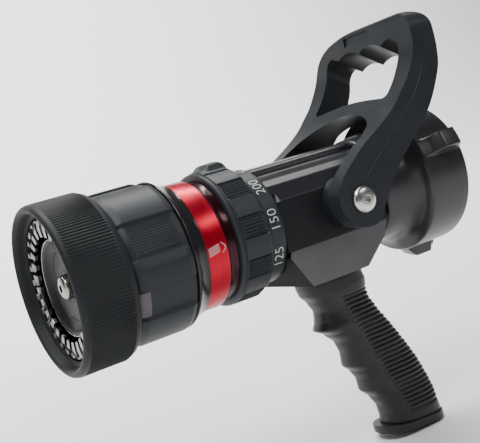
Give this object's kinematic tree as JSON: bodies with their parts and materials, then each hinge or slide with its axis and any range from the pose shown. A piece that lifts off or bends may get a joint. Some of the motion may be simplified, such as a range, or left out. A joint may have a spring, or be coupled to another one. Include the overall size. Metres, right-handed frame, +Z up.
{
  "type": "fire hose nozzle",
  "caption": "Selectable-flow fire hose nozzle with ribbed rubber bumper, spray pattern sleeve, flow ring, ball valve bail handle, pistol grip and swivel hose coupling.",
  "frame": {"origin": "centre of the hose coupling's rear face, on the waterway's axis", "axes": "X along the waterway with the tip towards -X and the hose leaving towards +X; +Z up, towards the handle; -Y is the nozzle's left side"},
  "size_m": [0.2868, 0.1206, 0.2743],
  "materials": {
    "rubber": "moulded black rubber, finely ribbed",
    "polymer": "satin black glass-filled nylon or black coating",
    "hardcoat": "black hard-anodised, satin to glossy",
    "satin_grey": "flat grey",
    "red": "glossy red anodised",
    "violet_grey": "polished, violet-grey anodised",
    "steel": "bright stainless",
    "ptfe": "white PTFE or acetal",
    "seal": "black sealing rubber"
  },
  "bodies": {
    "nozzle_body": {"barrel_tube": "hardcoat", "barrel_seal": "seal", "colour_band": "red", "band_lock_ring": "hardcoat", "stem_spider": "hardcoat", "detent_ball": "steel", "detent_spring": "steel", "valve_body": "hardcoat", "grip_saddle": "satin_grey", "saddle_screw_front": "steel", "saddle_screw_rear": "steel", "pistol_grip": "polymer", "grip_base": "polymer", "grip_bolt": "steel", "seat_front": "ptfe", "seat_rear": "ptfe", "thrust_washer_left": "ptfe", "thrust_washer_right": "ptfe", "swivel_tail": "hardcoat", "swivel_race_ring": "steel", "debris_screen": "steel"},
    "pattern_carrier": {"pattern_carrier": "steel"},
    "pattern_sleeve": {"pattern_sleeve": "polymer", "front_bumper": "rubber", "sleeve_collar": "violet_grey"},
    "spinning_teeth": {"spinning_teeth": "steel"},
    "flow_stem": {"baffle_stem": "steel", "baffle_head": "polymer", "baffle_screw": "steel", "flow_plug": "hardcoat", "flow_drive_pin": "steel"},
    "flow_selector": {"flow_selector_ring": "polymer"},
    "bail_handle": {"bail_handle": "polymer", "pivot_bolt_left": "steel", "pivot_bolt_right": "steel", "trunnion_left": "steel", "trunnion_right": "steel", "trunnion_seal_left": "seal", "trunnion_seal_right": "seal", "valve_ball": "steel"},
    "swivel_coupling": {"swivel_coupling": "hardcoat", "hose_gasket": "seal"}
  },
  "joints": [
    {"name": "pattern_slide", "type": "slide", "parent": "nozzle_body", "child": "pattern_carrier", "axis": [-1, 0, 0], "range_m": [-0.008, 0.005]},
    {"name": "pattern_turn", "type": "hinge", "parent": "pattern_carrier", "child": "pattern_sleeve", "pos_m": [-0.23, 0, 0], "axis": [1, 0, 0], "range_deg": [-88, 55]},
    {"name": "teeth_spin", "type": "hinge", "parent": "pattern_sleeve", "child": "spinning_teeth", "pos_m": [-0.277, 0, 0], "axis": [1, 0, 0], "continuous": true},
    {"name": "flow_turn", "type": "hinge", "parent": "nozzle_body", "child": "flow_selector", "pos_m": [-0.163, 0, 0], "axis": [1, 0, 0], "range_deg": [-36, 108]},
    {"name": "stem_slide", "type": "slide", "parent": "nozzle_body", "child": "flow_stem", "axis": [-1, 0, 0], "range_m": [-0.0012, 0.0032]},
    {"name": "handle_swing", "type": "hinge", "parent": "nozzle_body", "child": "bail_handle", "pos_m": [-0.096, 0, 0], "axis": [0, -1, 0], "range_deg": [0, 80]},
    {"name": "coupling_swivel", "type": "hinge", "parent": "nozzle_body", "child": "swivel_coupling", "pos_m": [-0.03, 0, 0], "axis": [1, 0, 0], "continuous": true}
  ],
  "couplings": [
    {"joint": "pattern_slide", "follows": "pattern_turn", "m_per_rad": 0.005},
    {"joint": "stem_slide", "follows": "flow_turn", "m_per_rad": 0.0016}
  ]
}
